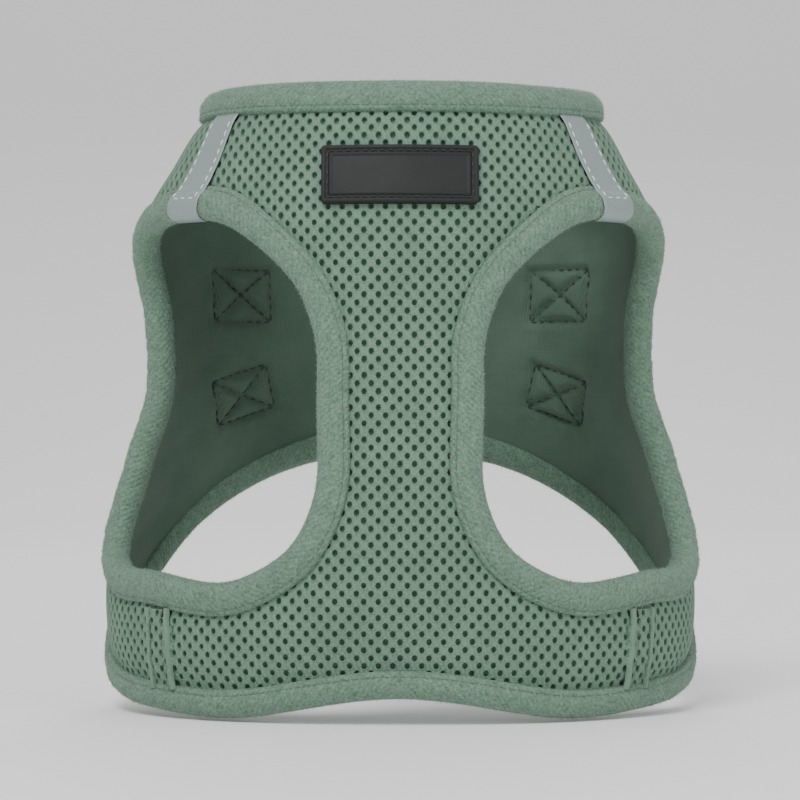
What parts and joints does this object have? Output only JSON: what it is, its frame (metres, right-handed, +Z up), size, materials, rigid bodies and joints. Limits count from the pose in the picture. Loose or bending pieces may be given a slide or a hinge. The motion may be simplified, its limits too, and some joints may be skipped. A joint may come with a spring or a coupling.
{
  "type": "pet harness vest",
  "caption": "Step-in small-pet harness vest: padded mesh body with bound edges, hinged back wings, hook-and-loop flap, buckle and leash rings.",
  "frame": {"origin": "centre of the space for the wearer's body, level with the lowest point of the hem", "axes": "+Z up towards the neck opening, the chest faces -Y, +X towards the right armhole as drawn from the front"},
  "size_m": [0.1788, 0.1371, 0.1843],
  "materials": {
    "mesh": "sage green spacer mesh with staggered oval holes",
    "lining": "darker green flat knit",
    "binding": "brushed twill fold-over tape",
    "reflective": "grey retroreflective tape, satin",
    "rubber": "matte moulded rubber",
    "webbing": "woven webbing",
    "closure_tape": "hook and loop tape",
    "metal": "nickel-plated, satin",
    "plastic": "moulded acetal, satin"
  },
  "bodies": {
    "root": {"chest_mesh": "mesh", "chest_lining": "lining", "neck_binding_front": "binding", "hem_binding_front": "binding", "armhole_binding_right_front": "binding", "armhole_binding_left_front": "binding", "reflective_strip_right": "reflective", "reflective_strip_left": "reflective", "lap_seam_strip_right": "mesh", "lap_seam_strip_left": "mesh", "rubber_patch": "rubber"},
    "left_wing": {"left_wing_mesh": "mesh", "left_wing_lining": "lining", "neck_binding_left": "binding", "hem_binding_left": "binding", "armhole_binding_left_rear": "binding", "back_edge_binding_left": "binding", "loop_tape": "closure_tape", "d_ring_strap_left": "webbing", "buckle_housing": "plastic", "buckle_strap_left": "webbing"},
    "right_wing": {"right_wing_mesh": "mesh", "right_wing_lining": "lining", "neck_binding_right": "binding", "hem_binding_right": "binding", "armhole_binding_right_rear": "binding", "back_edge_binding_right": "binding", "hook_tape": "closure_tape", "closure_flap": "binding", "d_ring_strap_right": "webbing", "buckle_plug": "plastic", "buckle_strap_right": "webbing", "strap_keeper": "webbing"},
    "leash_ring_left": {"d_ring_left": "metal"},
    "leash_ring_right": {"d_ring_right": "metal"},
    "prong_upper": {"buckle_prong_upper": "plastic"},
    "prong_lower": {"buckle_prong_lower": "plastic"}
  },
  "joints": [
    {"name": "right_wing_open", "type": "hinge", "parent": "root", "child": "right_wing", "pos_m": [0.0774, -0.0326, 0.025], "axis": [0.0844, -0.0844, -0.9929], "range_deg": [0, 90]},
    {"name": "left_wing_open", "type": "hinge", "parent": "root", "child": "left_wing", "pos_m": [-0.0774, -0.0326, 0.025], "axis": [0.0844, 0.0844, 0.9929], "range_deg": [0, 90]},
    {"name": "right_ring_swing", "type": "hinge", "parent": "right_wing", "child": "leash_ring_right", "pos_m": [0.03971, 0.05963, 0.0984], "axis": [-0.1424, 0.2353, -0.9614], "range_deg": [0, 140]},
    {"name": "left_ring_swing", "type": "hinge", "parent": "left_wing", "child": "leash_ring_left", "pos_m": [-0.03971, 0.05963, 0.0984], "axis": [-0.1424, -0.2353, 0.9614], "range_deg": [0, 140]},
    {"name": "upper_prong_squeeze", "type": "hinge", "parent": "right_wing", "child": "prong_upper", "pos_m": [0.02028, 0.06671, 0.13237], "axis": [-0.2547, -0.967, 0], "range_deg": [0, 7], "stiffness_Nm_per_rad": 0.02},
    {"name": "lower_prong_squeeze", "type": "hinge", "parent": "right_wing", "child": "prong_lower", "pos_m": [0.02028, 0.06671, 0.11617], "axis": [0.2547, 0.967, 0], "range_deg": [0, 7], "stiffness_Nm_per_rad": 0.02}
  ],
  "couplings": [
    {"joint": "left_wing_open", "follows": "right_wing_open", "ratio": 1},
    {"joint": "lower_prong_squeeze", "follows": "upper_prong_squeeze", "ratio": 1}
  ]
}
